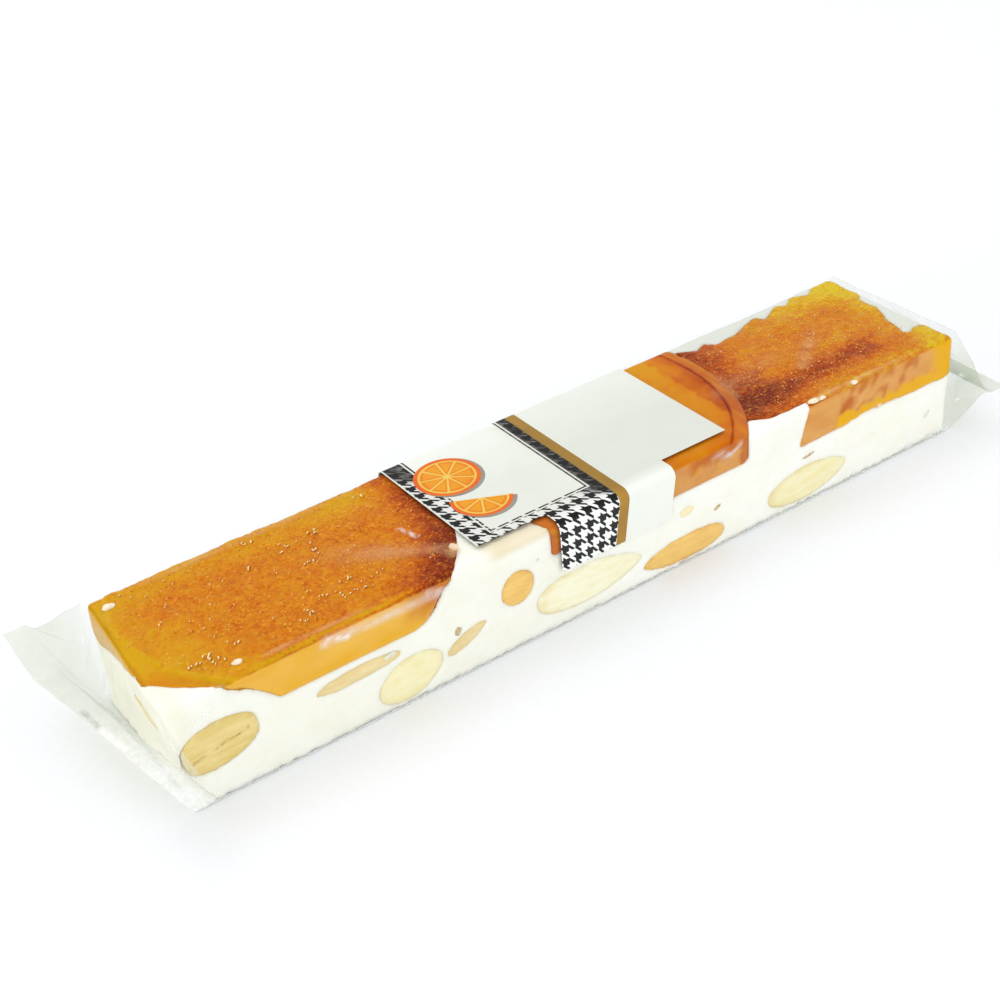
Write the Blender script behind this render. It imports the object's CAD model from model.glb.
"""Looks of the nougat bar: finer food, the printed label and the clear film, round the CAD frame.

Lengths are millimetres until new_piece() scales them to metres. The sizes of the bar, its
almonds, the label and the film's seals are those of part.py.
"""
import random
from math import ceil, copysign, cos, exp, hypot, pi, radians, sin, sqrt

import bmesh
import bpy
from mathutils import Matrix, Vector, noise


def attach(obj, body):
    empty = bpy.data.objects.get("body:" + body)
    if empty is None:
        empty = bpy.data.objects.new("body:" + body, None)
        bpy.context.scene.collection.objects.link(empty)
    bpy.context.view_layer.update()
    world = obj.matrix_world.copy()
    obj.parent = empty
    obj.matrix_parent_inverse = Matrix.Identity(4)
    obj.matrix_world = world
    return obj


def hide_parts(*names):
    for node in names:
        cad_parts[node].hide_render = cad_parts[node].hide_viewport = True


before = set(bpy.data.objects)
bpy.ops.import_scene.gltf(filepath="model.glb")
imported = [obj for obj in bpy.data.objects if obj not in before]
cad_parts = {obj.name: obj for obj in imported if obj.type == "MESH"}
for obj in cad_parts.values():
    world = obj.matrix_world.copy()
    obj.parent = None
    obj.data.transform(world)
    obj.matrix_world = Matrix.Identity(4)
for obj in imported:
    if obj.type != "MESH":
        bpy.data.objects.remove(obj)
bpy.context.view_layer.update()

MM = 0.001

# The bar, as in part.py
END = 90.0
SIDE = 18.35
HEIGHT = 23.1
LEAN = {-1: 1.8, 1: 0.9}
LEAN_REACH = 12.0
LABEL_X = (-28.0, 30.4)
LABEL_FRONT = -14.85
FLAP_X = (-12.8, 14.4)
FLAP_BOTTOM = 12.8
LEFT_DISC = {"x": -58.7, "y": 8.1, "radius": 34.6}
MIDDLE_DISC = {"x": 13.6, "y": 8.65, "half_x": 30.0, "half_y": 35.4}

# The ridge round the left orange piece's top, outside which its rind slopes down smoothly
RIDGE = {"x": -58.7, "y": 5.0, "radius": 30.3, "drop": 0.8, "line": 0.45}

# Almonds by the face that cuts them, as in part.py: along the face, height, length, width, angle,
# taper and how pointed the two ends are; then the tone of the cut
ALMONDS = {
    "front": [
        (-83.4, 11.5, 14.0, 9.2, 7, 0.10, 0.34, 0.32, "golden"),
        (-56.2, 11.8, 16.9, 2.4, 1, 0.05, 0.60, 0.45, "buff"),
        (-46.1, 5.4, 13.4, 8.4, 15, 0.04, 0.55, 0.52, "cream"),
        (-33.8, 8.0, 9.0, 1.9, 23, 0.10, 0.45, 0.60, "buff"),
        (-22.0, 13.4, 6.8, 6.5, 60, 0.0, 0.48, 0.46, "tan"),
        (-5.5, 6.9, 24.8, 7.9, -1, 0.14, 0.42, 0.85, "pale"),
        (17.2, 3.6, 20.1, 5.2, 0, -0.08, 0.70, 0.42, "tan"),
        (49.9, 4.8, 21.2, 7.2, 2, 0.06, 0.50, 0.72, "cream"),
    ],
    "back": [
        (-70.0, 8.4, 22.0, 8.4, -12, 0.12, 0.45, 0.80, "cream"),
        (-43.0, 6.2, 15.0, 7.6, 24, -0.05, 0.55, 0.45, "pale"),
        (-17.0, 10.4, 18.0, 2.2, 6, 0.05, 0.55, 0.50, "buff"),
        (7.0, 6.4, 21.0, 8.2, -6, -0.10, 0.75, 0.45, "cream"),
        (34.0, 9.8, 8.0, 7.2, 0, 0.0, 0.48, 0.52, "tan"),
        (55.0, 5.0, 22.5, 5.0, 3, 0.08, 0.42, 0.75, "golden"),
        (76.0, 8.6, 14.0, 8.4, -28, 0.08, 0.36, 0.36, "pale"),
    ],
    "left": [
        (-5.2, 13.6, 11.2, 1.8, 1, 0.05, 0.55, 0.50, "buff"),
    ],
    "right": [
        (-7.0, 7.4, 14.5, 8.0, 12, 0.08, 0.48, 0.65, "cream"),
        (9.0, 9.0, 12.0, 2.2, -20, 0.05, 0.55, 0.50, "buff"),
    ],
}

# The film's flat seals, by side: the ends of the outer edge in plan, its height, and how far its
# back corner curls up and in
SEALS = {
    -1: {"front": (-93.9, -30.0), "back": (-103.6, 28.4), "height": 11.3, "curl": 6.6, "curl_in": 2.2},
    1: {"front": (99.6, -25.4), "back": (102.4, 27.0), "height": 10.5, "curl": 0.0, "curl_in": 0.0},
}
CURL_FROM = 0.66           # where the curl starts across the seal
PILLOW = 1.1               # how full the film stays on its way down to the seal, 1 for straight

# Sizes of the finer meshes
NOUGAT_VOXEL = 0.6
ORANGE_VOXEL = 0.42
ALMOND_VOXEL = 0.36
NOUGAT_LIFT = 0.15         # the film passes under the bar
SEAM_FILL = 0.45           # food grows by this over the clearance round each CAD piece
OUTSIDE = (END - 0.8, SIDE - 0.7, HEIGHT - 0.8)    # past these it doesn't grow out of the bar

# The film over the bar
FILM_OFF = 0.45
FILM_ROUND = 1.7           # radius of the film over the bar's top edges
FILM_FOOT = 0.5            # radius at its bottom edges
FILM_FLOOR = 0.04
FILM_PAST = 0.5            # the film goes straight on past the bar's ends by this
RING_STEPS = 220
BAR_STEP = 0.65
CALM_STEP = 2.5
NECK_STEPS = 24
SEAL_STEPS = 10
SEAL_BAND = 4.4            # width of the crimped seal

# The label's print, across (u) and along the wrap (v); v is 0 on the bar's middle line
LABEL_OFF = 0.62
LABEL_SKEW = 0.018
FLAP_DRIFT = 0.155
CHECK = 3.0                # period of the houndstooth
CHECK_PHASE = (0.55, 1.1)
CHECK_STOP = 5.0           # the check ends short of this along the bar
LABEL_STEP = 5.0           # width of the sheet's columns
BEND_STEPS = 7             # rows of faces over each long edge
EDGE_LINE = 0.3
FRAME = {"u": (-23.85, -1.1), "v": (-12.9, 18.9)}
FRAME_LINE = 0.38
GOLD_BAND = (1.05, 3.35)


# ---- mesh helpers

def ramp(value, low, high):
    """Smooth step from 0 at low to 1 at high."""
    t = min(1.0, max(0.0, (value - low) / (high - low)))
    return t * t * (3 - 2 * t)


def wave(x, y, z, size, seed=0.0):
    """Soft noise of about -1 to 1, with bumps of the given size."""
    return noise.noise(Vector((x / size + seed, y / size, z / size)))


def ridge(x, y, size, seed=0.0):
    """Noise that is 1 along thin wandering lines and falls off to 0 between them."""
    return (1.0 - abs(noise.noise(Vector((x / size, y / size, seed))))) ** 6


def lean(x, y, z):
    """How far a point near an end is moved along the bar: its ends lean out at the top front."""
    side = -1 if x < 0 else 1
    reach = ramp(abs(x), END - LEAN_REACH, END)
    return side * LEAN[side] * ramp(z, 0, HEIGHT) * ramp(-y, -SIDE, SIDE) * reach


def add(name, data):
    """A new object in the scene."""
    made = bpy.data.objects.new(name, data)
    bpy.context.scene.collection.objects.link(made)
    return made


def to_mesh(bm, name):
    """A mesh made from a bmesh, which is freed."""
    mesh = bpy.data.meshes.new(name)
    bm.to_mesh(mesh)
    bm.free()
    return mesh


def new_piece(name, shape, materials, replaced=()):
    """Add a piece made in millimetres as a mesh or a bmesh, smooth shaded, riding on the bar."""
    mesh = to_mesh(shape, name) if isinstance(shape, bmesh.types.BMesh) else shape
    mesh.name = name
    mesh.transform(Matrix.Scale(MM, 4))
    for material in materials:
        mesh.materials.append(material)
    mesh.polygons.foreach_set("use_smooth", [True] * len(mesh.polygons))
    piece = add(name, mesh)
    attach(piece, "root")
    if replaced:
        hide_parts(*replaced)


def with_normals(mesh):
    """Every vertex with its place and normal, read before any of them moves."""
    normals = [vert.normal.copy() for vert in mesh.vertices]
    return [(vert, vert.co.copy(), normal) for vert, normal in zip(mesh.vertices, normals)]


def set_attributes(mesh, **columns):
    """Give a mesh numbers for its material to read, one for each vertex."""
    for name, values in columns.items():
        layer = mesh.attributes.new(name, "FLOAT", "POINT")
        layer.data.foreach_set("value", values)


def fine_copy(node, voxel):
    """A CAD node's mesh in millimetres, remade from small even quads, without its material."""
    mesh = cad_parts[node].data.copy()
    mesh.transform(Matrix.Scale(1 / MM, 4))
    carrier = add(node + "_fine", mesh)
    remesh = carrier.modifiers.new("Fine", "REMESH")
    remesh.mode = "VOXEL"
    remesh.voxel_size = voxel
    graph = bpy.context.evaluated_depsgraph_get()
    fine = bpy.data.meshes.new_from_object(carrier.evaluated_get(graph))
    bpy.data.objects.remove(carrier)
    fine.materials.clear()
    return fine


def filled_out(place, normal):
    """Where a point of a set-in piece goes to close the clearance, without leaving the bar."""
    push = [0 if abs(at) > limit else part for at, limit, part in zip(place, OUTSIDE, normal)]
    return place + Vector(push) * SEAM_FILL


# ---- material helpers

class Shader:
    """A material being built from nodes."""

    def __init__(self, name):
        self.material = bpy.data.materials.new(name)
        self.material.use_nodes = True
        self.tree = self.material.node_tree
        self.tree.nodes.clear()
        self.output = self.tree.nodes.new("ShaderNodeOutputMaterial")

    def node(self, kind, inputs=(), **settings):
        made = self.tree.nodes.new("ShaderNode" + kind)
        for key, value in settings.items():
            setattr(made, key, value)
        for key, value in dict(inputs).items():
            self.feed(made.inputs[key], value)
        return made

    def feed(self, socket, value):
        if isinstance(value, bpy.types.NodeSocket):
            self.tree.links.new(value, socket)
        elif hasattr(value, "__len__") and len(value) == 3 and socket.type == "RGBA":
            socket.default_value = (*value, 1.0)
        else:
            socket.default_value = value

    def noise(self, size, detail=4.0, roughness=0.55, stretch=(1, 1, 1), distortion=0.0, shift=(0, 0, 0)):
        """Noise with features of a size in millimetres, as a 0 to 1 socket."""
        moved = self.node("Mapping", {
            "Vector": self.node("TexCoord").outputs["Object"],
            "Location": [part * MM for part in shift], "Scale": stretch})
        made = self.node("TexNoise", {
            "Vector": moved.outputs[0], "Scale": 1 / (size * MM), "Detail": detail,
            "Roughness": roughness, "Distortion": distortion})
        return made.outputs["Fac"]

    def read(self, name):
        """A number that the mesh gives each vertex."""
        return self.node("Attribute", attribute_name=name).outputs["Fac"]

    def math(self, operation, a, b=0.0, c=None, clamp=False):
        made = self.node("Math", {0: a, 1: b}, operation=operation, use_clamp=clamp)
        if c is not None:
            self.feed(made.inputs[2], c)
        return made.outputs[0]

    def times(self, a, b):
        return self.math("MULTIPLY", a, b)

    def scaled(self, value, low, high, to_low=0.0, to_high=1.0):
        made = self.node("MapRange", {"Value": value, "From Min": low, "From Max": high,
                                      "To Min": to_low, "To Max": to_high})
        return made.outputs[0]

    def spread(self, value, low, high):
        """Noise, which mostly lies between 0.3 and 0.7, spread from low to high."""
        return self.scaled(value, 0.3, 0.7, low, high)

    def mix(self, factor, a, b, blend="MIX"):
        made = self.node("Mix", data_type="RGBA", blend_type=blend)
        for key, value in ((0, factor), (6, a), (7, b)):
            self.feed(made.inputs[key], value)
        return made.outputs[2]

    def ramp(self, factor, stops):
        made = self.node("ValToRGB", {"Fac": factor})
        points = made.color_ramp.elements
        while len(points) < len(stops):
            points.new(0.5)
        for point, (place, colour) in zip(points, stops):
            point.position = place
            point.color = (*colour, 1.0)
        return made.outputs["Color"]

    def bump(self, height, depth, strength=1.0, under=None):
        inputs = {"Height": height, "Distance": depth * MM, "Strength": strength}
        if under is not None:
            inputs["Normal"] = under
        return self.node("Bump", inputs).outputs[0]

    def diffuse(self, colour):
        return self.node("BsdfDiffuse", {"Color": colour}).outputs[0]

    def cover(self, below, strength, above):
        """One shader over another."""
        return self.node("MixShader", {0: strength, 1: below, 2: above}).outputs[0]

    def surface(self, **inputs):
        """Finish with one Principled shader. Names use _ for spaces."""
        shader = self.node("BsdfPrincipled", {key.replace("_", " "): v for key, v in inputs.items()})
        self.tree.links.new(shader.outputs[0], self.output.inputs["Surface"])
        return self.material


def srgb(r, g, b):
    """A colour given as 0 to 255 screen values, in linear light."""
    def linear(c):
        c /= 255
        return c / 12.92 if c <= 0.04045 else ((c + 0.055) / 1.055) ** 2.4
    return linear(r), linear(g), linear(b)


# ---- materials

def nougat_material():
    """Cut nougat: white and a little smeared, creamier where the mesh says it is stained."""
    s = Shader("nougat_cut")
    clouds = s.noise(7, 3)
    smear = s.noise(2.2, 5, stretch=(0.35, 1, 1.4))
    grain = s.noise(0.35, 2)
    colour = s.ramp(clouds, [(0.3, srgb(250, 247, 232)), (0.7, srgb(254, 253, 243))])
    colour = s.mix(s.scaled(smear, 0.55, 0.8, 0, 0.35), colour, srgb(243, 238, 218))
    colour = s.mix(s.read("stain"), colour, srgb(228, 200, 142))
    colour = s.mix(s.read("dull"), colour, srgb(218, 219, 208))
    normal = s.bump(smear, 0.35, 0.5)
    normal = s.bump(grain, 0.06, 0.5, normal)
    return s.surface(
        Base_Color=colour, Roughness=s.spread(smear, 0.42, 0.6), Normal=normal,
        Subsurface_Weight=0.25, Subsurface_Radius=(1.0, 0.8, 0.55), Subsurface_Scale=2.5 * MM)


ORANGE_RAMP = [
    (0.0, srgb(118, 34, 0)),
    (0.25, srgb(172, 68, 0)),
    (0.5, srgb(203, 108, 0)),
    (0.75, srgb(210, 138, 0)),
]
# The orange pieces: tone 1 of the ramp above, two colours of the cut side, size of the grain, depth
# of its bumps, and how much haze, fine strokes and folds the top has
ORANGE = {
    "left": ((208, 157, 0), ((230, 172, 60), (238, 188, 82)), 0.55, 0.16, 0.10, 0.65, 0.0),
    "middle": ((208, 150, 0), ((208, 140, 74), (222, 166, 96)), 1.6, 0.04, 0.0, 0.0, 0.0),
    "right": ((217, 184, 18), ((214, 146, 70), (226, 168, 96)), 0.5, 0.18, 0.35, 0.6, 0.07),
}
# Their relief on the top and on the cut side
RELIEF = {"left": (0.18, 0.0), "middle": (0.04, 0.06), "right": (0.16, 0.12)}


def orange_material(part):
    """Candied orange. Its tone comes from the mesh: 0 deep red-brown, 1 golden yellow."""
    s = Shader("candied_" + part)
    golden, sides, grain, depth, haze, strokes, folds = ORANGE[part]
    rough = s.read("rough")
    patches = s.noise(6.5, 3, 0.5, distortion=0.8)
    clumps = s.noise(grain * 3.0, 3, 0.55, distortion=0.4)
    fine = s.noise(grain, 3, 0.55)
    tone = s.math("ADD", s.read("tone"), s.spread(patches, -0.07, 0.07))
    swing = s.math("ADD", s.spread(fine, -0.16, 0.16), s.spread(clumps, -0.10, 0.10))
    tone = s.math("MULTIPLY_ADD", swing, rough, tone)
    if folds:
        creased = s.noise(5.0, 4, 0.6, stretch=(0.6, 1.5, 1), distortion=1.8)
        tone = s.math("ADD", tone, s.scaled(creased, 0.35, 0.65, -folds, folds))
    top = s.ramp(tone, [*ORANGE_RAMP, (1.0, srgb(*golden))])
    top = s.mix(s.scaled(s.noise(4.5, 4, 0.6), 0.52, 0.8, 0, haze), top, srgb(206, 136, 70))
    if strokes:
        dashes = s.noise(0.42, 2, 0.5, stretch=(0.5, 1, 1))
        drawn = s.times(s.scaled(dashes, 0.56, 0.66, 0, strokes), s.scaled(clumps, 0.4, 0.6, 0.3, 1))
        top = s.mix(s.times(drawn, rough), top, srgb(238, 158, 44))
        pits = s.noise(0.5, 2, 0.5, shift=(0.2, 0.3, 0))
        sunk = s.times(s.scaled(pits, 0.6, 0.7, 0, strokes), rough)
        top = s.mix(sunk, top, srgb(138, 52, 0))
    darker, paler = [srgb(*colour) for colour in sides]
    side = s.ramp(s.noise(3.4, 4, 0.6, stretch=(0.4, 1, 1)), [(0.3, darker), (0.7, paler)])
    side = s.mix(s.read("side_dark"), side, srgb(186, 84, 6))
    side = s.mix(s.read("side_light"), side, srgb(232, 172, 10))
    colour = s.mix(s.read("side"), top, side)
    fade = s.times(rough, s.math("SUBTRACT", 1.0, s.times(s.read("side"), 0.8)))
    normal = s.bump(clumps, depth * 1.6, fade)
    normal = s.bump(fine, depth, fade, normal)
    return s.surface(
        Base_Color=colour, Roughness=s.spread(fine, 0.12, 0.28), Normal=normal,
        Specular_IOR_Level=0.07, Subsurface_Weight=0.12,
        Subsurface_Radius=(1.0, 0.3, 0.05), Subsurface_Scale=1.5 * MM)


# The cut of an almond: inside, grain and outline
ALMOND_TONES = {
    "pale": ((251, 246, 218), (246, 237, 194), (232, 210, 140)),
    "cream": ((248, 240, 200), (243, 229, 170), (226, 204, 138)),
    "golden": ((235, 212, 142), (225, 197, 113), (206, 174, 92)),
    "tan": ((243, 200, 110), (234, 184, 92), (218, 164, 84)),
    "buff": ((238, 216, 160), (228, 200, 138), (220, 192, 130)),
}


def almond_material(tone):
    """The cut through an almond: pale inside, darker along its outline, with a faint grain."""
    inside, grain_colour, rim_colour = [srgb(*colour) for colour in ALMOND_TONES[tone]]
    s = Shader("almond_" + tone)
    fibre = s.noise(1.1, 5, stretch=(0.25, 1, 1))
    blush = s.noise(5.0, 2)
    colour = s.mix(s.scaled(fibre, 0.4, 0.7), inside, grain_colour)
    colour = s.mix(s.scaled(blush, 0.5, 0.75, 0, 0.5), colour, grain_colour)
    uneven = s.math("MULTIPLY_ADD", s.noise(1.6, 3), 0.16, s.read("rim"))
    rim = s.scaled(uneven, 0.90, 1.14)
    colour = s.mix(s.times(rim, s.scaled(blush, 0.4, 0.6, 0.0, 0.85)), colour, rim_colour)
    colour = s.mix(s.read("crack"), colour, srgb(146, 106, 46))
    return s.surface(
        Base_Color=colour, Roughness=s.spread(fibre, 0.38, 0.55),
        Normal=s.bump(fibre, 0.12, 0.6), Subsurface_Weight=0.15,
        Subsurface_Radius=(1.0, 0.7, 0.4), Subsurface_Scale=1.2 * MM)


UNBACKED = (0.80, 0.79, 0.76)     # what is left of a print's colour over the orange
INK_ROUGHNESS = (0.26, 0.38)


def ink_material(name, colour, worn):
    """Print on film: it drifts a little, and looks darker where no white nougat backs it."""
    s = Shader(name)
    drift = s.noise(6, 3)
    speck = s.noise(0.3, 2)
    shade = s.mix(s.scaled(drift, 0.35, 0.75), srgb(*colour), srgb(*worn))
    shade = s.mix(s.scaled(speck, 0.6, 0.8, 0, 0.25), shade, srgb(*worn))
    shade = s.mix(s.read("unbacked"), shade, UNBACKED, blend="MULTIPLY")
    return s.surface(Base_Color=shade, Roughness=s.spread(drift, *INK_ROUGHNESS),
                     Normal=s.bump(drift, 0.2, 0.3), Specular_IOR_Level=0.3)


def check_material():
    """The light teeth of the houndstooth, which turn dark grey in its shaded part."""
    s = Shader("print_check_light")
    streaks = s.noise(1.2, 3, stretch=(1, 0.5, 1))
    dark = s.ramp(streaks, [(0.35, srgb(26, 25, 23)), (0.7, srgb(112, 109, 102))])
    light = s.mix(s.read("unbacked"), srgb(246, 246, 241), UNBACKED, blend="MULTIPLY")
    shade = s.mix(s.read("shade"), light, dark)
    return s.surface(Base_Color=shade, Roughness=s.spread(streaks, 0.28, 0.4))


def film_material():
    """Clear film: what is behind shows through, and its gloss rises at grazing angles."""
    s = Shader("clear_film")
    loose = s.read("loose")
    haze = s.read("haze")
    streaks = s.noise(3.0, 3, stretch=(0.3, 1, 1))
    ripple = s.bump(streaks, 0.12, 0.35)
    facing = s.node("LayerWeight", {"Blend": 0.5, "Normal": ripple}).outputs["Facing"]
    slope = s.times(loose, s.math("POWER", facing, 3.0))
    tint = s.mix(loose, (0.995, 0.995, 0.99), (0.915, 0.925, 0.875))
    tint = s.mix(slope, tint, (0.72, 0.75, 0.72))
    tint = s.mix(s.read("dark"), tint, (0.62, 0.65, 0.58))
    clear = s.node("BsdfTransparent", {"Color": tint}).outputs[0]
    gloss = s.node("BsdfGlossy", {"Color": (1, 1, 1), "Roughness": 0.09, "Normal": ripple}).outputs[0]
    grazing = s.math("MULTIPLY_ADD", loose, 0.6, 0.3)
    shine = s.math("MULTIPLY_ADD", s.math("POWER", facing, 4.5), grazing, 0.005)
    film = s.cover(clear, shine, gloss)
    milky = s.times(haze, s.spread(streaks, 0.5, 1.0))
    film = s.cover(film, milky, s.diffuse((0.93, 0.94, 0.92)))
    film = s.cover(film, s.read("veil"), s.diffuse(srgb(232, 186, 134)))
    film = s.cover(film, s.read("glare"), s.diffuse((0.97, 0.98, 0.97)))
    s.tree.links.new(film, s.output.inputs["Surface"])
    return s.material


def fleck_material(name, colour, edge):
    """A small bit of food, or a spot of light in the syrup."""
    s = Shader(name)
    fibre = s.noise(0.5, 4)
    shade = s.mix(s.scaled(fibre, 0.35, 0.65), srgb(*colour), srgb(*edge))
    return s.surface(Base_Color=shade, Roughness=s.spread(fibre, 0.45, 0.65),
                     Normal=s.bump(fibre, 0.08, 0.5))


def floor_material():
    s = Shader("floor_paper")
    grain = s.noise(1.5, 2)
    colour = s.mix(s.scaled(grain, 0.3, 0.7), (0.865, 0.87, 0.88), (0.88, 0.885, 0.895))
    return s.surface(Base_Color=colour, Roughness=0.8, Specular_IOR_Level=0.1)


# ---- the food

def nougat_stain(x, y, z):
    """How creamy the nougat is: a little at its left end, and under the label's margin."""
    stain = 0.04 * ramp(-x, -10, 20) + 0.14 * ramp(-x, END - 4.0, END - 0.5)
    under_label = ramp(x, -29, -25) * ramp(-x, 11.5, 13.5) * ramp(z, 21.2, 22.6)
    return stain + 0.55 * under_label * ramp(-y, 12, 16)


def nougat_dull(x, y, z):
    """How grey it looks: in the bare strips round the right orange piece, and faintly at the left."""
    bare = max(ramp(y, 8, 11), ramp(x, 83, 85) * ramp(y, -13, -10))
    strips = bare * ramp(x, 36, 40) * ramp(z, HEIGHT - 2.5, HEIGHT - 1.0)
    return max(strips, 0.12 * ramp(-x, -10, 20))


def make_nougat():
    mesh = fine_copy("nougat", NOUGAT_VOXEL)
    stains, dull = [], []
    for vert, place, normal in with_normals(mesh):
        x, y, z = place
        on_face = ramp(max(abs(y) - SIDE + 0.8, abs(x) - END + 0.8, z - HEIGHT + 0.8), 0, 0.6)
        depth = 0.10 * wave(x, y, z, 2.6) + 0.05 * wave(x, y, z, 1.1, 9.0)
        torn = ramp(-z, -2.2, -0.3) * 0.4 * wave(x, y, z, 1.3, 4.0)
        stains.append(nougat_stain(x, y, z))
        dull.append(nougat_dull(x, y, z))
        place += normal * (depth + torn) * on_face
        place.z = max(place.z, NOUGAT_LIFT)
        vert.co = place
    set_attributes(mesh, stain=stains, dull=dull)
    new_piece("nougat_body", mesh, [nougat_material()], ("nougat",))


def axes_on(face, angle=0.0):
    """Unit vectors along the top or the front, across it and out of it, turned by an angle."""
    c, s = cos(angle), sin(angle)
    if face == "top":
        return Vector((c, s, 0)), Vector((-s, c, 0)), Vector((0, 0, 1))
    return Vector((c, 0, s)), Vector((-s, 0, c)), Vector((0, -1, 0))


def blob(bm, middle, axes, size, index, seed, detail=3):
    """A low irregular lump on a face, with the material of the index."""
    made = bmesh.ops.create_icosphere(bm, subdivisions=detail, radius=1.0)["verts"]
    along, across, out = axes
    for vert in made:
        d = vert.co.copy()
        d *= 1 + 0.22 * wave(d.x, d.y, d.z, 0.9, seed) + 0.1 * wave(d.x, d.y, d.z, 0.4, seed)
        vert.co = middle + along * d.x * size[0] + across * d.y * size[1] + out * d.z * size[2]
    for face in {face for vert in made for face in vert.link_faces}:
        face.material_index = index


# Crumbs of nougat that lie on the orange: place on the top, then half length and half width
CRUMBS = (
    (51.4, -17.8, 1.5, 0.7), (53.4, -18.0, 0.9, 0.5), (62.3, -18.2, 0.9, 0.6),
    (-87.0, 14.0, 1.2, 0.8), (-76.2, -14.6, 1.0, 0.6), (-30.6, -11.4, 0.7, 1.2),
)


def make_crumbs():
    bm = bmesh.new()
    for i, (x, y, half_x, half_y) in enumerate(CRUMBS):
        place = Vector((x, max(y, -SIDE + half_y), HEIGHT))
        blob(bm, place, axes_on("top"), (half_x, half_y, 0.4), 0, 3.1 * i)
    new_piece("nougat_crumbs", bm, [
        fleck_material("nougat_crumb", (250, 240, 218), (236, 214, 176))])


# Bubbles in the syrup that catch the light: the clusters that show most, as (x, y) on the top
CLUSTERS = (
    (-59.0, 15.2), (-62.8, 7.6), (-47.8, 9.6), (-53.6, 8.9), (-50.3, 4.4), (-52.8, 1.4), (-48.7, -11.4),
    (-51.3, -6.5), (-52.5, -10.7), (-55.9, -8.5), (-59.8, -11.1), (-62.1, -12.0), (-79.9, -9.8),
    (-78.1, -12.4), (-82.6, -10.6), (-74.9, -9.6), (-81.0, 3.3), (-35.1, 13.9), (-45.5, -9.2),
)
# Fields of fainter ones: from and to along the bar, from and to across it, how many are tried
BUBBLE_FIELDS = (((-87.0, -30.0), (-13.5, 16.0), 620), ((45.0, 86.0), (-15.0, 12.0), 480))
BUBBLE_SIZE = (0.10, 0.26)     # half length of one spot of light


def bubble(bm, draw, x, y, size, bright):
    """A dash of light at a place of the top. A bright one has the dark side of its bubble by it."""
    axes = axes_on("top", draw.uniform(0.2, 1.4))
    place = Vector((x, y, HEIGHT + 0.12))
    blob(bm, place, axes, (size, 0.42 * size, 0.10), 0 if bright else 2, draw.uniform(0, 40), 2)
    if bright:
        beside = place - axes[1] * 0.7 * size
        blob(bm, beside, axes, (0.9 * size, 0.3 * size, 0.08), 1, draw.uniform(0, 40), 2)


def make_bubbles():
    draw = random.Random(11)
    bm = bmesh.new()
    for x, y in CLUSTERS:
        for _ in range(draw.randint(3, 5)):
            size = draw.uniform(0.22, 0.42)
            bubble(bm, draw, x + draw.gauss(0, 0.65), y + draw.gauss(0, 0.5), size, True)
    for (x0, x1), (y0, y1), count in BUBBLE_FIELDS:
        for _ in range(count):
            x, y = draw.uniform(x0, x1), draw.uniform(y0, y1)
            size = draw.uniform(*BUBBLE_SIZE)
            outside = hypot(x - LEFT_DISC["x"], y - LEFT_DISC["y"]) > LEFT_DISC["radius"] - 3
            if wave(x, y, 0, 5.0) > -0.15 and not (x < 0 and outside):
                bubble(bm, draw, x, y, size, size > 0.25)
    new_piece("syrup_bubbles", bm, [
        fleck_material("bubble_light", (255, 238, 180), (255, 212, 116)),
        fleck_material("bubble_dark", (148, 76, 0), (170, 90, 0)),
        fleck_material("bubble_gold", (250, 196, 84), (238, 168, 46))])


# Bits of almond skin and peel at the front: along, height, half length and width, angle, tone
FLECKS = (
    (-35.6, 10.6, 1.1, 0.75, 60, "brown"), (17.6, 12.1, 1.9, 1.0, 10, "yellow"),
    (25.5, 9.6, 0.9, 0.4, 20, "brown"), (49.7, 11.2, 1.7, 0.28, 8, "brown"),
    (69.2, 15.1, 0.75, 0.6, 60, "pink"), (83.7, 6.9, 1.1, 0.6, 50, "grey"),
    (-17.4, 17.6, 0.35, 0.3, 0, "grey"), (-49.8, 12.6, 1.3, 0.5, 10, "grey"),
)
FLECK_TONES = {
    "brown": ((176, 146, 92), (216, 200, 160)),
    "yellow": ((250, 236, 196), (248, 232, 184)),
    "pink": ((240, 196, 164), (246, 220, 196)),
    "grey": ((214, 214, 190), (236, 236, 220)),
}


def make_flecks():
    bm = bmesh.new()
    tones = list(FLECK_TONES)
    for i, (x, z, half_x, half_z, angle, tone) in enumerate(FLECKS):
        axes = axes_on("front", radians(angle))
        blob(bm, Vector((x, -SIDE, z)), axes, (half_x, half_z, 0.2), tones.index(tone), 2.3 * i)
    new_piece("nougat_flecks", bm, [
        fleck_material("fleck_" + tone, *FLECK_TONES[tone]) for tone in tones])


def off_ridge(x, y):
    """How far a point lies outside the left piece's ridge."""
    return hypot(x - RIDGE["x"], y - RIDGE["y"]) - RIDGE["radius"] + 0.25 * wave(x, y, 0, 2.2)


def past_ridge(x, y):
    """0 inside the left piece's ridge, 1 on the smooth rind outside it."""
    return ramp(off_ridge(x, y), 0.0, 0.7) * ramp(-x, 60, 76)


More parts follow.
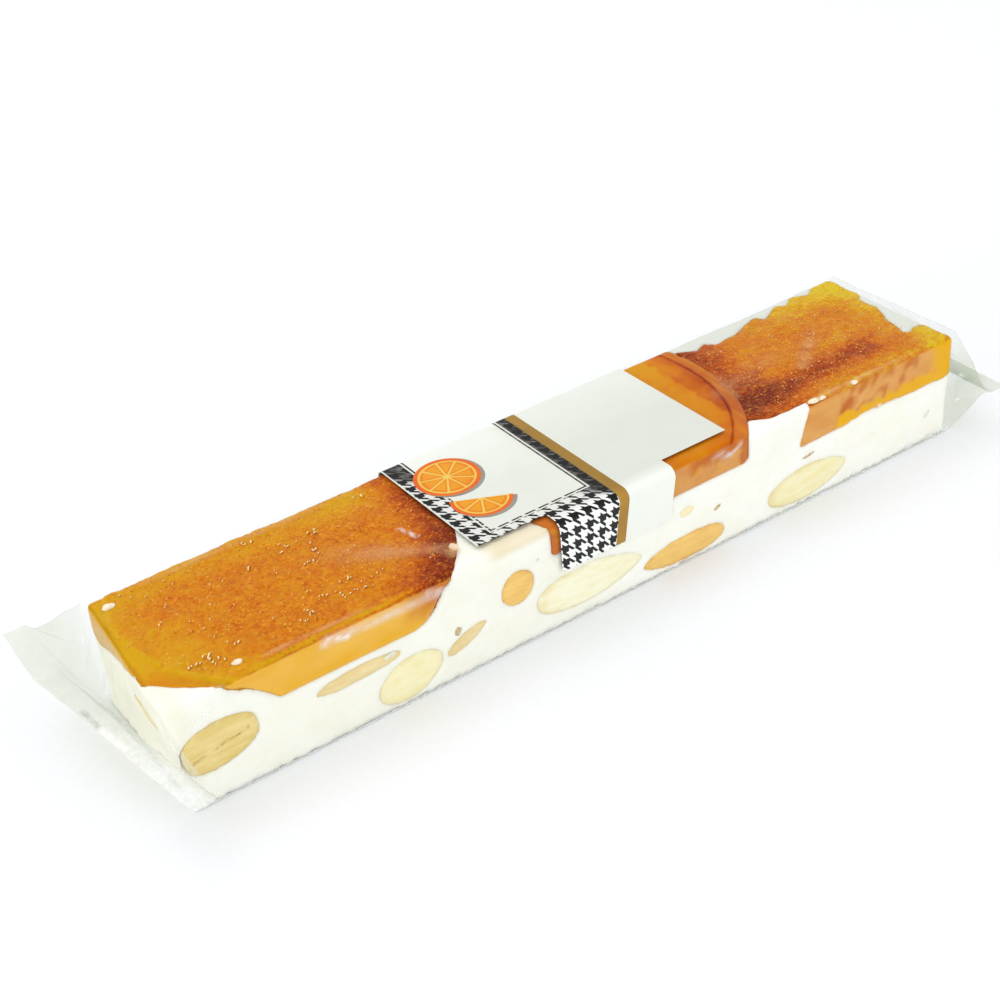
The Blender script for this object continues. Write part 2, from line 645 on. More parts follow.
def left_look(x, y, z):
    """Tone, roughness of the grain, how dark and light the cut side is, and how tan the top."""
    out = hypot(x - LEFT_DISC["x"], y - LEFT_DISC["y"]) / LEFT_DISC["radius"]
    rind = past_ridge(x, y)
    ridge_line = exp(-(off_ridge(x, y) / RIDGE["line"]) ** 2) * ramp(-x, 66, 78)
    tone = 0.57 + 0.06 * wave(x, y, 0, 9) + 0.07 * wave(x, y, 0, 3.2, 7.0)
    tone += (0.26 + 0.16 * wave(x, y, 0, 6, 3.0)) * ramp(y, 8, 15)
    tone += 0.26 * ramp(-x - 0.5 * y, 72, 90)
    tone -= 0.56 * ramp(out, 0.66, 0.98) * ramp(x, -56, -36)
    tone += rind * (0.20 - 0.26 * ramp(-y, 2, 12)) + 0.30 * ridge_line
    fold = exp(-((y + 17.1) / 0.4) ** 2) * ramp(x, -76, -70) * ramp(-x, 40, 48)
    tone += 0.45 * fold
    dark = 0.7 * ramp(x + 1.5 * wave(x, 0, z, 2.5), -48, -40) * ramp(z + wave(x, 0, z, 2), 14, 20)
    light = 0.45 * ramp(-z, -18.5, -16) + 0.25 * wave(x, 0, z, 4.0)
    return tone, 1 - 0.5 * rind, dark, max(0.0, light) * (1 - dark), 0.0


def middle_look(x, y, z):
    """A smooth disc inside a thin dark line and a tan rind, and a paler strip by the label."""
    out = hypot((x - MIDDLE_DISC["x"]) / MIDDLE_DISC["half_x"],
                (y - MIDDLE_DISC["y"]) / MIDDLE_DISC["half_y"])
    tone = 0.46 + 0.10 * ramp(y, 4, 14) - 0.06 * ramp(-y, -2, 8)
    tone -= 0.16 * ramp(out, 0.80, 0.91)
    tone -= 0.30 * ramp(out, 0.906, 0.914) * ramp(-out, -0.930, -0.922)
    tan = 0.6 * ramp(out, 0.928, 0.94)
    strip = x + 0.9 * wave(x, y, 0, 3) + 0.5 * wave(x, y, 0, 1.3)
    tone += 0.22 * ramp(-strip, -36.2, -35.6)
    ragged = wave(x, 0, z, 3) + 0.6 * wave(x, 0, z, 1.2)
    dark = 0.75 * ramp(z + ragged, 19.6, 21.4) * ramp(x + ragged, 17, 21)
    dark = max(dark, 0.7 * ramp(x + 0.6 * ragged, 31.0, 32.0))
    dark = max(dark, 0.7 * ramp(-x, -15.2, -14.2))
    return tone, 0.35, dark, 0.25 * ramp(wave(x, 0, z, 1.6), 0.1, 0.4), tan


def right_look(x, y, z):
    """Brown-orange with a darker band, and yellow at the end and the back corner."""
    tone = 0.61 + 0.07 * wave(x, y, 0, 8)
    tone -= 0.46 * ramp(-x, -57, -42)
    tone += 0.26 * ramp(x, 80, 88)
    tone += 0.34 * ramp(y, 6, 14) * ramp(x, 56, 82)
    tone -= 0.40 * ramp(-y + 0.08 * (x - 60), 3, 9) * ramp(y, -14.5, -10) * ramp(-x, -82, -74)
    tone += 0.22 * ramp(-y, 14.5, 16.5) * ramp(wave(x, y, 0, 1.6), -0.1, 0.3)
    ragged = wave(x, 0, z, 2.0) + 0.6 * wave(x, 0, z, 0.9)
    flow = 0.5 + 0.9 * wave(x - 0.5 * z, 0, z, 2.6, 4.0)
    past = ramp(x + 0.6 * ragged - 0.35 * (z - 18), 57.0, 58.5)
    patch = ramp(-x + ragged, -63.5, -60) * ramp(-z + ragged, -21.5, -19.5)
    dark = past * max(0.85 * patch, 0.6 * ramp(flow, 0.45, 0.85) * (1 - ramp(x, 78, 86)))
    light = max(ramp(x + ragged, 82, 87), past * ramp(-z + 1.2 * ragged, -18.2, -16.2))
    return tone, 1.0, dark * (1 - 0.7 * light), light, 0.0


def orange_piece(part, look):
    """An orange piece: grainy on top, and crinkled where its cut side is dark or light."""
    node = "orange_slice_" + part
    relief, crinkle = RELIEF[part]
    mesh = fine_copy(node, ORANGE_VOXEL)
    looks, sides = [], []
    for vert, place, normal in with_normals(mesh):
        x, y, z = place
        up = ramp(normal.z, 0.3, 0.8) * ramp(z, HEIGHT - 1.5, HEIGHT - 0.8)
        on_side = ramp(abs(y), SIDE - 0.7, SIDE - 0.25) * (1 - up)
        tone, rough, dark, light, tan = look(x, y, z)
        looks.append((tone, rough, dark, light))
        sides.append(max(on_side, tan))
        grain = wave(x, y, z, 1.5) + 0.8 * wave(x, y, z, 0.8, 5.0) + 0.9 * wave(x, y, z, 3.6, 2.0)
        crinkled = crinkle * min(1.0, dark + light) * (grain - 0.3)
        bumps = relief * (grain - 0.5) * rough
        place = filled_out(place, normal)
        place.z += bumps * up
        place.y -= copysign(max(-0.1, crinkled), -place.y) * on_side
        if part == "left":
            place.z -= RIDGE["drop"] * past_ridge(x, y) * up
        vert.co = place
    tone, rough, dark, light = zip(*looks)
    set_attributes(mesh, tone=tone, rough=rough, side_dark=dark, side_light=light, side=sides)
    new_piece("orange_" + part, mesh, [orange_material(part)], (node,))


def make_orange():
    for part, look in (("left", left_look), ("middle", middle_look), ("right", right_look)):
        orange_piece(part, look)


# Which way an almond's length runs on each face, in x and y
ALONG = {"front": (1, 0), "back": (-1, 0), "left": (0, -1), "right": (0, 1)}


def almond_frame(face, along, height, length, width, angle, taper, low, high):
    """A function that turns a point into (along the almond, across it), 1 at its outline."""
    c, s = cos(radians(angle)), sin(radians(angle))
    dx, dy = ALONG[face]

    def local(place):
        side, up = (place.x - along) * dx + (place.y - along) * dy, place.z - height
        a = (side * c + up * s) / (length / 2)
        point = high if a > 0 else low
        thin = (1.0 - taper * a) * max(0.01, 1.0 - a * a) ** (point - 0.5)
        return a, (up * c - side * s) / (width / 2) / thin
    return local


CRACKED = (("front", 1), ("back", 6))      # a brown gap between the two halves


def make_almonds():
    materials = {tone: almond_material(tone) for tone in ALMOND_TONES}
    cuts = [(face, i, cut) for face in ALMONDS for i, cut in enumerate(ALMONDS[face], start=1)]
    for face, i, (*place, tone) in cuts:
        mesh = fine_copy(f"almond_{face}_{i}", ALMOND_VOXEL)
        local = almond_frame(face, *place)
        rims, cracks = [], []
        for vert, place_on, normal in with_normals(mesh):
            a, b = local(place_on)
            rims.append(min(1.0, hypot(a, b)))
            wander = 0.05 * wave(a * 3, 0, 0, 1.0) + 0.10 * a - 0.05
            thick = 0.02 + 0.07 * wave(a * 7, 0, 3, 1.0)
            cracks.append(ramp(thick - abs(b - wander), -0.03, 0.05) * ramp(0.85 - abs(a), 0, 0.1)
                          if (face, i) in CRACKED else 0.0)
            vert.co = filled_out(place_on, normal)
        set_attributes(mesh, rim=rims, crack=cracks)
        new_piece(f"nut_{face}_{i}", mesh, [materials[tone]], (f"almond_{face}_{i}",))


# ---- the wrap round the bar

def wrap_section():
    """Corner points (y, z) round the bar from the middle of its underside, by the front."""
    y_out, z_out = SIDE + FILM_OFF, HEIGHT + FILM_OFF
    quarter = [radians(15 * step) for step in range(7)]
    line = [(0.0, FILM_FLOOR)]
    line += [(-y_out + FILM_FOOT * (1 - sin(a)), FILM_FLOOR + FILM_FOOT * (1 - cos(a))) for a in quarter]
    line += [(-y_out + FILM_ROUND * (1 - cos(a)), z_out - FILM_ROUND * (1 - sin(a))) for a in quarter]
    return line + [(-y, z) for y, z in reversed(line[1:])] + [(0.0, FILM_FLOOR)]


def resample(line, count):
    """Points an equal distance apart along a closed line, with their outward normals."""
    lengths = [0.0]
    for (y0, z0), (y1, z1) in zip(line, line[1:]):
        lengths.append(lengths[-1] + hypot(y1 - y0, z1 - z0))
    points, piece = [], 0
    for step in range(count):
        want = lengths[-1] * step / count
        while lengths[piece + 1] < want:
            piece += 1
        share = (want - lengths[piece]) / max(1e-9, lengths[piece + 1] - lengths[piece])
        (y0, z0), (y1, z1) = line[piece], line[piece + 1]
        run = hypot(y1 - y0, z1 - z0)
        points.append((y0 + (y1 - y0) * share, z0 + (z1 - z0) * share,
                       -(z1 - z0) / run, (y1 - y0) / run))
    return points, lengths[-1]


def calm(x):
    """0 under the label, where the film lies flat, and 1 clear of it."""
    return 1.0 - ramp(x, LABEL_X[0] - 6, LABEL_X[0]) * (1.0 - ramp(x, LABEL_X[1], LABEL_X[1] + 6))


# Where the film stands clear of the top and veils it: from (x, y) to (x, y), the height of the
# crease, its width at its narrow end, how many times wider it gets, and how much it veils
CREASES = [
    ((-30.0, -12.8), (-55.0, 4.0), 0.16, 1.0, 3.4, 0.36),
    ((-30.2, -12.9), (-34.0, -13.4), 0.14, 0.8, 1.6, 0.50),
    ((-82.0, 15.6), (-30.0, 15.9), 0.06, 0.5, 1.6, 0.30),
    ((-73.0, -16.6), (-46.0, -16.9), 0.05, 0.35, 1.2, 0.50),
    ((50.2, -17.6), (86.0, -17.8), 0.05, 0.45, 1.1, 0.50),
    ((36.0, -4.0), (66.0, 2.0), 0.08, 1.6, 2.0, 0.16),
    ((57.0, -8.0), (74.0, 6.0), 0.10, 1.2, 1.8, 0.30),
    ((40.5, -8.0), (44.0, 6.0), 0.08, 0.5, 1.2, 0.30),
]


def crease_share(x, y, start, stop, width, spread):
    """1 on a crease's line, fading to its sides and towards its far end."""
    (x0, y0), (x1, y1) = start, stop
    run = Vector((x1 - x0, y1 - y0))
    along = ((x - x0) * run.x + (y - y0) * run.y) / run.length_squared
    if not 0 <= along <= 1:
        return 0.0
    across = abs((x - x0) * run.y - (y - y0) * run.x) / run.length
    wide = width * (1 + (spread - 1) * along)
    return exp(-(across / wide) ** 2) * ramp(along, 0, 0.06) * ramp(1 - along, 0, 0.6)


def film_relief(x, y, z, arc):
    """How far the film stands off its plain section, and how much it veils what is below."""
    loose_end = ramp(abs(x), END - 14, END)
    lift = 0.10 * wave(x, arc, 0, 7) + 0.08 * (1 + loose_end) * ridge(x / 2.5, arc, 3.0)
    lift += 0.16 * ramp(-z, -1.8, -0.6) * wave(x, arc, 0, 0.9)
    veil = 0.0
    if z > HEIGHT - 1:
        uneven = 0.75 + 0.6 * wave(x, y, 0, 2.5) + 0.4 * wave(x, y, 0, 0.9)
        for start, stop, rise, width, spread, strength in CREASES:
            share = crease_share(x, y, start, stop, width, spread)
            lift += rise * share
            veil += strength * share * uneven
    return lift * calm(x), min(0.7, max(0.0, veil))


# Bright glare on the film: from a point to a point, width and strength
GLARES = [
    ((-88.6, -18.8, 22.9), (-81.5, -18.8, 22.9), 1.0, 0.45),
    ((-86.9, -18.8, 17.9), (-84.1, -18.8, 20.1), 0.9, 0.40),
    ((-62.0, -18.8, 21.9), (-38.5, -18.8, 21.2), 1.5, 0.42),
    ((-61.0, -18.8, 22.4), (-57.5, -18.8, 21.2), 1.0, 0.75),
    ((-41.0, -18.8, 22.2), (-38.8, -18.8, 21.6), 1.0, 0.55),
    ((-35.6, -0.4, 23.5), (-34.2, -5.0, 23.5), 0.5, 0.55),
    ((26.0, -18.8, 22.0), (28.6, -18.8, 20.8), 0.9, 0.60),
    ((28.6, -18.8, 20.8), (31.4, -18.8, 22.2), 0.7, 0.55),
    ((77.6, -18.8, 1.0), (80.4, -18.8, 1.4), 0.7, 0.6),
    ((83.0, -18.8, 0.8), (88.6, -18.8, 1.6), 0.6, 0.6),
    ((-97.9, -2.0, 11.6), (-96.6, -8.8, 11.6), 1.1, 0.95),
    ((-96.6, 13.5, 16.0), (-93.4, 13.3, 19.4), 0.7, 0.85),
    ((91.8, -19.8, 14.0), (96.4, -22.8, 12.0), 0.55, 0.8),
    ((91.4, -19.6, 8.0), (95.4, -22.4, 9.6), 0.55, 0.7),
    ((96.4, -22.8, 12.0), (95.4, -22.4, 9.6), 0.5, 0.7),
    ((92.5, 4.0, 20.5), (96.5, 12.0, 15.5), 0.5, 0.5),
]
# Dark streaks in the crumpled film beside them
STREAKS = [
    ((-98.6, 4.6, 11.4), (-98.0, -1.2, 11.4), 0.8, 1.0),
    ((-97.4, -8.4, 11.4), (-97.0, -13.0, 11.4), 0.6, 0.6),
    ((93.2, -20.6, 11.2), (95.0, -22.0, 10.8), 0.7, 0.8),
    ((92.0, 18.0, 19.0), (99.0, 22.0, 12.5), 0.7, 0.4),
    ((95.5, -16.0, 11.0), (96.5, 16.0, 14.0), 9.0, 0.42),
]


MARK_MOST = 0.9        # the strongest that a mark gets


def marked(place, marks):
    """How strong the nearest of some marks on the film is at a point. Marks have soft edges."""
    strongest = 0.0
    patchy = 0.8 + 0.5 * wave(*place, 1.2)
    for start, stop, width, strength in marks:
        start, stop = Vector(start), Vector(stop)
        run = stop - start
        along = min(1.0, max(0.0, (place - start).dot(run) / run.length_squared))
        off = (place - start - run * along).length
        strongest = max(strongest, strength * patchy * ramp(-off, -width, 0))
    return min(MARK_MOST, max(0.0, strongest))


SEAL_CORNER = 0.93     # how far across the seal the film over the bar's edges ends up


def flat_share(y, z):
    """Where a point round the bar lies across the flat seal, -1 to 1, and 1 above or -1 below."""
    off_middle = min(1.0, abs(z - HEIGHT / 2) / (HEIGHT / 2 + FILM_OFF))
    fold = copysign((1 - SEAL_CORNER) * (1 - off_middle), y)
    return SEAL_CORNER * y / (SIDE + FILM_OFF) + fold, 1 if z > HEIGHT / 2 else -1


def seal_point(side, across, layer, out):
    """A point of the flat seal: out is the distance from its outer edge inwards."""
    seal = SEALS[side]
    front, back = Vector(seal["front"]), Vector(seal["back"])
    seam = front.lerp(back, (across + 1) / 2)
    bend = ramp(across, CURL_FROM, 1.0)
    crimp = 0.07 * sin(out * 2 * pi / 0.9)
    sway = 0.3 * sin(across * 5 + 1) + 0.15 * wave(across * 20, 0, 0, 3)
    edge = 0.25 * wave(across * 30, 0, side, 2.5)
    x = seam.x - side * (out + edge)
    y = seam.y - seal["curl_in"] * bend
    return Vector((x, y, seal["height"] + seal["curl"] * bend + layer * 0.05 + crimp + sway))


def film_stations():
    """Where along the bar the film has a ring: close together, but not under the label."""
    stations = [-END - FILM_PAST]
    while stations[-1] < END + FILM_PAST - 0.1:
        quiet = LABEL_X[0] + 1 < stations[-1] < LABEL_X[1] - 1 - CALM_STEP
        stations.append(stations[-1] + (CALM_STEP if quiet else BAR_STEP))
    return stations


def bar_row(ring, x):
    """A ring of the film over the bar. Each entry is (place, loose, haze, veil)."""
    row = []
    for arc, (y, z, out_y, out_z) in ring:
        lift, veil = film_relief(x, y, z, arc)
        place = Vector((x + lean(x, y, z), y + out_y * lift, max(0.02, z + out_z * lift)))
        foot = 0.9 * ramp(-z, -1.1, -0.3) * (0.75 + 0.7 * wave(x, 0, 0, 0.8))
        row.append((place, 0.0, min(0.95, max(0.0, foot)), veil))
    return row


def end_rows(ring, side):
    """From the bar's end outwards: the neck flattening into the seal, then the seal."""
    start = [place for place, *_ in bar_row(ring, side * (END + FILM_PAST))]
    rows = []
    for step in range(1, NECK_STEPS + SEAL_STEPS + 1):
        share = min(1.0, step / NECK_STEPS)
        in_seal = max(0, step - NECK_STEPS) / SEAL_STEPS
        swell = sin(pi * share)
        row = []
        for first, (arc, (y, z, *_)) in zip(start, ring):
            across, layer = flat_share(y, z)
            flat = seal_point(side, across, layer, SEAL_BAND * (1 - in_seal))
            place = first.lerp(flat, share)
            place.z = first.z + (flat.z - first.z) * share ** PILLOW
            fold = ridge(across * 11 + 0.8 * share, share * 2.2 + layer * 7, 2.6, side * 3.0) - 0.35
            place.z += swell * layer * (0.5 * fold + 0.1)
            place.x += swell * side * 0.4 * wave(arc, share * 4, layer, 3.0)
            row.append((place, *end_look(side, across, layer, share, in_seal), 0.0))
        rows.append(row)
    return rows


def end_look(side, across, layer, share, in_seal):
    """How loose and how hazy the film is at its end: the left end is whiter towards its front."""
    front = ramp(-across, -0.5, 0.6) if side < 0 else 0.0
    loose = min(1.0, 0.35 + share) * (1 - 0.8 * front)
    speckle = in_seal * (0.5 + wave(across * 30, share * 30 + 9 * in_seal, layer, 1.1))
    crimped = min(1.0, 3 * in_seal) * max(0.0, min(1.2, speckle + 0.5))
    return loose, 0.03 + (0.2 + 0.4 * front) * crimped + 0.10 * front * share


def make_film():
    points, total = resample(wrap_section(), RING_STEPS)
    ring = [(total * i / RING_STEPS, point) for i, point in enumerate(points)]
    rows = end_rows(ring, -1)[::-1]
    rows += [bar_row(ring, x) for x in film_stations()]
    rows += end_rows(ring, 1)
    bm = bmesh.new()
    grid = [[bm.verts.new(entry[0]) for entry in row] for row in rows]
    for first, second in zip(grid, grid[1:]):
        for i in range(RING_STEPS):
            j = (i + 1) % RING_STEPS
            bm.faces.new((first[i], second[i], second[j], first[j]))
    mesh = to_mesh(bm, "film_wrap")
    loose, haze, veil = zip(*[entry[1:] for row in rows for entry in row])
    glare = [marked(vert.co, GLARES) for vert in mesh.vertices]
    dark = [marked(vert.co, STREAKS) for vert in mesh.vertices]
    set_attributes(mesh, loose=loose, haze=haze, veil=veil, glare=glare, dark=dark)
    new_piece("film_wrap", mesh, [film_material()], ("film_end_left", "film_end_right"))


# ---- the label

LABEL_ROUND = FILM_ROUND + LABEL_OFF - FILM_OFF      # radius over the bar's edges
# v where the wrap leaves the top, where it meets the long sides, and at the flap's end
LABEL_FLAT = SIDE + LABEL_OFF - LABEL_ROUND
LABEL_ARC = pi / 2 * LABEL_ROUND
LABEL_SIDE = LABEL_FLAT + LABEL_ARC
LABEL_END = LABEL_SIDE + HEIGHT + LABEL_OFF - LABEL_ROUND - FLAP_BOTTOM
SKEW_REACH = 20.0          # the label's skew stops growing this far from the middle line


def wrap_point(u, v):
    """A point of the label: u along the bar, v along the wrap from the bar's middle line."""
    r, z_out = LABEL_ROUND, HEIGHT + LABEL_OFF
    past = abs(v) - LABEL_FLAT
    if past <= 0:
        y, z = abs(v), z_out
    elif past < LABEL_ARC:
        y, z = LABEL_FLAT + r * sin(past / r), z_out - r + r * cos(past / r)
    else:
        y, z = SIDE + LABEL_OFF, z_out - r - (past - LABEL_ARC)
    drift = FLAP_DRIFT * max(0.0, past - LABEL_ARC) * ramp(u, FLAP_X[0], 2.0)
    skew = LABEL_SKEW * max(-SKEW_REACH, min(SKEW_REACH, v))
    return Vector((u - skew - drift, copysign(y, v), z))


def check_is_dark(u, v):
    """Houndstooth: threads dark half the time both ways, crossed by a diagonal twill."""
    a = (u + CHECK_PHASE[0]) / CHECK
    b = (v + CHECK_PHASE[1]) / CHECK
    over = ((a + b) * 2) % 1.0 < 0.5
    return (a % 1.0 < 0.5) if over else (b % 1.0 < 0.5)


def check_shade(u, v):
    """How far the light teeth have turned dark at a place: towards the back of the label."""
    return ramp(v - (11.0 - 1.08 * (u + 26.0)), -1.5, 2.0)


def inside(u, v, margin):
    """Whether a place is inside the frame by more than a margin."""
    (u0, u1), (v0, v1) = FRAME["u"], FRAME["v"]
    return u0 + margin < u < u1 - margin and v0 + margin < v < v1 - margin


# Inks of the label, where fresh and where worn.
INKS = {
    "white": ((239, 241, 232), (236, 238, 228)),
    "ivory": ((246, 248, 240), (243, 244, 234)),
    "gold": ((174, 132, 46), (160, 118, 40)),
    "black": ((12, 12, 11), (22, 21, 20)),
}
CHECKED = ("black", "check_light")


def ink_at(u, v):
    """Which ink the label has at a place of its sheet."""
    if u < LABEL_X[0] + EDGE_LINE or u > GOLD_BAND[1]:
        return "white"
    if u > GOLD_BAND[0]:
        return "gold"
    if inside(u, v, 2 * FRAME_LINE):
        return "ivory"
    if inside(u, v, 0) and not inside(u, v, FRAME_LINE):
        return "white"
    return CHECKED[0] if check_is_dark(u, v) else CHECKED[1]


def ink_of(face):
    centre = face.calc_center_median()
    return ink_at(centre.x, centre.y)


def cut_lines(bm, faces, normal, places):
    """Cut faces along parallel lines of the flat sheet. Returns the faces after it."""
    normal = Vector((*normal, 0.0))
    faces = list(faces)
    for place in places:
        geometry = set(faces)
        for face in faces:
            geometry.update(face.edges)
            geometry.update(face.verts)
        cut = bmesh.ops.bisect_plane(bm, geom=list(geometry), plane_co=normal * place,
                                     plane_no=normal, dist=1e-5)
        faces = [g for g in cut["geom"] if isinstance(g, bmesh.types.BMFace)]
    return faces


def steps_between(low, high, step, phase=0.0):
    """Places a step apart between two others."""
    first = ceil((low + phase) / step)
    last = int((high + phase) // step)
    return [k * step - phase for k in range(first, last + 1)]


def label_sheet():
    """The label laid flat: what covers the top, and a flap for each long side."""
    bm = bmesh.new()
    columns = (LABEL_X[0], *FLAP_X, LABEL_X[1])
    quads = [(u0, u1, LABEL_FRONT, LABEL_SIDE) for u0, u1 in zip(columns, columns[1:])]
    quads += [(*FLAP_X, -LABEL_END, LABEL_FRONT), (*FLAP_X, LABEL_SIDE, LABEL_END)]
    for u0, u1, v0, v1 in quads:
        bm.faces.new([bm.verts.new((u, v, 0)) for u, v in ((u0, v0), (u1, v0), (u1, v1), (u0, v1))])
    bmesh.ops.remove_doubles(bm, verts=bm.verts, dist=1e-4)
    return bm


def frame_lines(low, high):
    """Where the edges of the frame's double line lie along one axis of the sheet."""
    line = FRAME_LINE
    return low, low + line, low + 2 * line, high - 2 * line, high - line, high


def cut_checks(bm):
    """Cut the checked faces along the threads and the twill of the houndstooth."""
    checked = [face for face in bm.faces if ink_of(face) in CHECKED]
    low, high = LABEL_X[0], CHECK_STOP
    end, root = LABEL_END, sqrt(2)
    checked = cut_lines(bm, checked, (1, 0), steps_between(low, high, CHECK / 2, CHECK_PHASE[0]))
    checked = cut_lines(bm, checked, (0, 1), steps_between(-end, end, CHECK / 2, CHECK_PHASE[1]))
    twill = steps_between(low - end, high + end, CHECK / 4, sum(CHECK_PHASE))
    cut_lines(bm, checked, (1 / root, 1 / root), [place / root for place in twill])


def cut_bends(bm):
    """Cut the sheet where it bends over the bar's edges, and into even columns."""
    bends = [k * (LABEL_SIDE - LABEL_FLAT) / BEND_STEPS + LABEL_FLAT for k in range(BEND_STEPS + 1)]
    half_flap = (LABEL_SIDE + LABEL_END) / 2
    rows = [-v for v in bends] + [0.0] + bends + [-half_flap, half_flap]
    cut_lines(bm, bm.faces, (0, 1), [v for v in rows if v > -LABEL_END])
    cut_lines(bm, bm.faces, (1, 0), steps_between(*LABEL_X, LABEL_STEP))


def make_label():
    bm = label_sheet()
    cut_lines(bm, bm.faces, (1, 0), (LABEL_X[0] + EDGE_LINE, *frame_lines(*FRAME["u"]), *GOLD_BAND))
    cut_lines(bm, bm.faces, (0, 1), frame_lines(*FRAME["v"]))
    cut_checks(bm)
    cut_bends(bm)
    order = [*INKS, "check_light"]
    for face in bm.faces:
        face.material_index = order.index(ink_of(face))
    bm.verts.index_update()
    shade = [check_shade(v.co.x, v.co.y) for v in bm.verts]
    unbacked = [ramp(-abs(v.co.y), -LABEL_FLAT - 1.5, -LABEL_FLAT + 1.5) for v in bm.verts]
    for vert in bm.verts:
        vert.co = wrap_point(vert.co.x, vert.co.y)
    bmesh.ops.recalc_face_normals(bm, faces=bm.faces)
    mesh = to_mesh(bm, "label_print")
    set_attributes(mesh, shade=shade, unbacked=unbacked)
    inks = [ink_material("print_" + ink, *colours) for ink, colours in INKS.items()]
    new_piece("label_print", mesh, [*inks, check_material()], ("label",))


# The picture on the label: slices of orange, each (u, v, radius, from and to degrees, lift)
SLICES = (
    (-19.4, 7.6, 6.5, 0, 360, 0.03),
    (-18.6, -2.6, 6.0, 152, 332, 0.07),
)
SEGMENTS = 9
PICTURE_INKS = {
    "shadow": ((150, 148, 140), (170, 168, 160)),
    "rind": ((252, 120, 10), (246, 100, 8)),
    "pith": ((255, 214, 96), (252, 200, 70)),
    "flesh": ((252, 144, 0), (248, 130, 0)),
    "glow": ((254, 170, 6), (252, 156, 2)),
}
ARC_STEP = 6               # degrees between the points of a round outline


def picture_patch(bm, outline, lift, ink):
    """A flat patch of the picture, given as (u, v) points, laid on the label."""
    verts = []
    for u, v in outline:
        place = wrap_point(u, v)
        place.z += lift
        verts.append(bm.verts.new(place))
    face = bm.faces.new(verts)
    face.material_index = list(PICTURE_INKS).index(ink)
    if face.normal.z < 0:
        face.normal_flip()


def arc_points(u, v, radius, start, stop):
    """Points along an arc, given in degrees."""
    count = max(1, round((stop - start) / ARC_STEP))
    angles = [radians(start + (stop - start) * i / count) for i in range(count + 1)]
    return [(u + radius * cos(a), v + radius * sin(a)) for a in angles]


def orange_slice(bm, u, v, radius, start, stop, lift):
    """One slice: its shadow, the rind, the pith, and its segments with a lighter middle each."""
    whole = stop - start >= 360
    turn = stop - ARC_STEP if whole else stop
    for ink, share, shift, rise in (("shadow", 1.03, 0.5, 0.0), ("rind", 1.0, 0.0, 0.01),
                                    ("pith", 0.87, 0.0, 0.02)):
        line = arc_points(u + 0.6 * shift, v - shift, radius * share, start, turn)
        picture_patch(bm, line, lift + rise, ink)
    count = SEGMENTS if whole else SEGMENTS // 2
    width = (stop - start) / count
    for i in range(count):
        a0, a1 = start + i * width + 3, start + (i + 1) * width - 3
        middle = radians((a0 + a1) / 2)
        cu, cv = u + 0.09 * radius * cos(middle), v + 0.09 * radius * sin(middle)
        wedge = [(cu, cv)] + arc_points(u, v, radius * 0.80, a0, a1)
        picture_patch(bm, wedge, lift + 0.03, "flesh")
        glow = [(u + (p - u) * 0.72 + (cu - u) * 1.6, v + (q - v) * 0.72 + (cv - v) * 1.6)
                for p, q in wedge]
        picture_patch(bm, glow, lift + 0.04, "glow")


def make_picture():
    bm = bmesh.new()
    for piece in SLICES:
        orange_slice(bm, *piece)
    bm.normal_update()
    mesh = to_mesh(bm, "label_picture")
    set_attributes(mesh, unbacked=[1.0] * len(mesh.vertices))
    inks = [ink_material("picture_" + ink, *colours) for ink, colours in PICTURE_INKS.items()]
    new_piece("label_picture", mesh, inks)


# ---- camera, light and floor

CAMERA_PLACE = (-0.14921, -0.22174, 0.19842)
CAMERA_TURN = (55.345, 4.514, -34.694)    # degrees
CAMERA_LENS = 59.59
AIM = (0, 0, 0.01)         # where the lamps point
ROOM_LIGHT = (1.01, 1.04, 1.07)
ROOM_IN_GLOSS = (0.60, 0.61, 0.62)
ROOM_SEEN = (1.0, 1.0, 1.0)


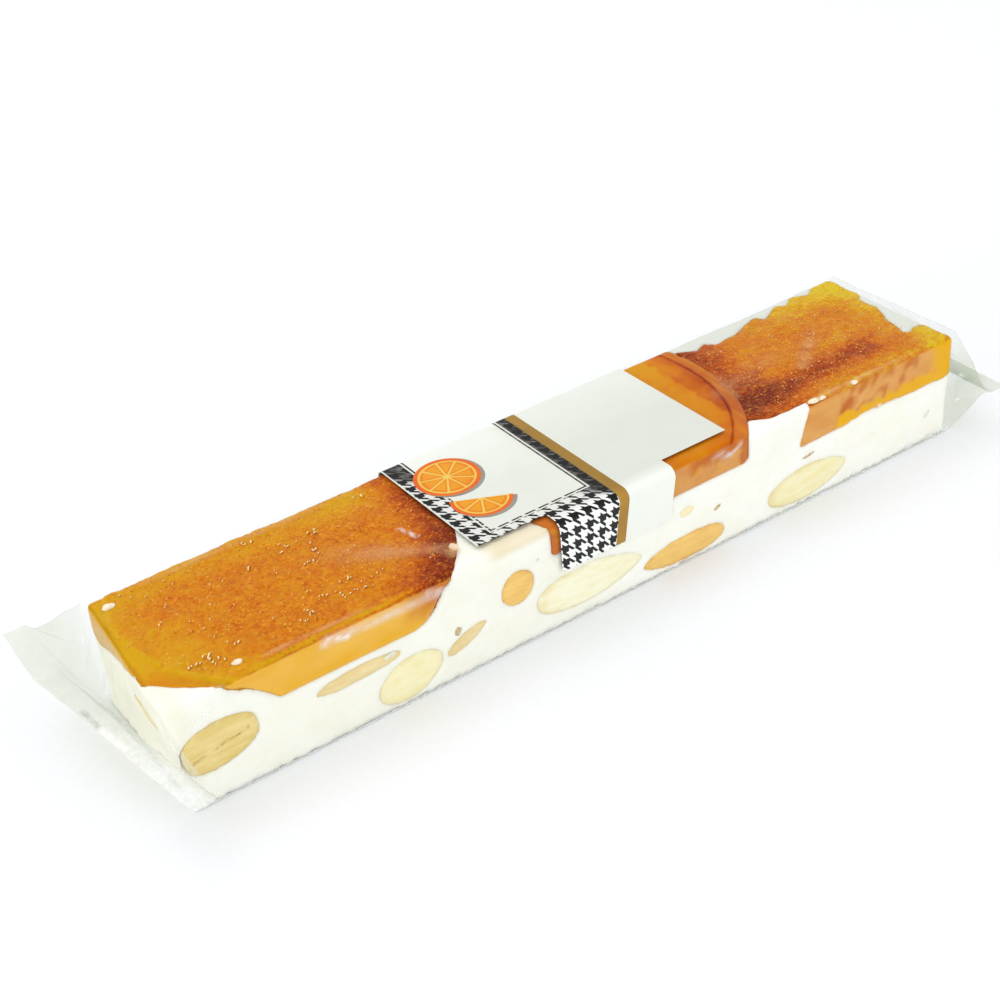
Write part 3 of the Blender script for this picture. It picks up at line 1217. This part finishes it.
def make_camera():
    data = bpy.data.cameras.new("camera")
    data.lens = CAMERA_LENS
    data.sensor_width = 36
    data.clip_start = 0.01
    camera = add("camera", data)
    camera.location = CAMERA_PLACE
    camera.rotation_euler = [radians(a) for a in CAMERA_TURN]
    bpy.context.scene.camera = camera


def area_light(name, place, size, power, colour):
    data = bpy.data.lights.new(name, "AREA")
    data.shape = "RECTANGLE"
    data.size, data.size_y = size
    data.energy = power
    data.color = colour
    light = add(name, data)
    light.location = place
    light.rotation_euler = (Vector(place) - Vector(AIM)).to_track_quat("Z", "Y").to_euler()


def make_light():
    world = bpy.data.worlds.new("studio")
    world.use_nodes = True
    tree = world.node_tree
    path = tree.nodes.new("ShaderNodeLightPath")
    colour = None
    for ray, seen in (("Is Glossy Ray", ROOM_IN_GLOSS), ("Is Camera Ray", ROOM_SEEN)):
        mix = tree.nodes.new("ShaderNodeMix")
        mix.data_type = "RGBA"
        tree.links.new(path.outputs[ray], mix.inputs[0])
        mix.inputs[6].default_value = (*ROOM_LIGHT, 1.0)
        mix.inputs[7].default_value = (*seen, 1.0)
        if colour:
            tree.links.new(colour, mix.inputs[6])
        colour = mix.outputs[2]
    tree.links.new(colour, tree.nodes["Background"].inputs["Color"])
    bpy.context.scene.world = world
    area_light("key", (-0.1, 0.4, 0.95), (0.7, 0.5), 1.4, (1.0, 0.99, 0.975))
    area_light("front_fill", (0.45, -0.85, 0.5), (0.5, 0.5), 0.65, (0.98, 0.99, 1.0))
    area_light("left_fill", (-1.05, -0.25, 0.25), (0.4, 0.3), 1.85, (0.98, 0.99, 1.0))


def make_floor():
    bm = bmesh.new()
    bmesh.ops.create_grid(bm, x_segments=8, y_segments=8, size=3.0)
    bmesh.ops.translate(bm, vec=(0, 0, -0.00005), verts=bm.verts)
    mesh = to_mesh(bm, "floor")
    mesh.materials.append(floor_material())
    floor = add("floor", mesh)


bpy.context.scene.view_settings.view_transform = "Standard"
make_camera()
make_light()
make_floor()
make_nougat()
make_crumbs()
make_bubbles()
make_flecks()
make_orange()
make_almonds()
make_film()
make_label()
make_picture()
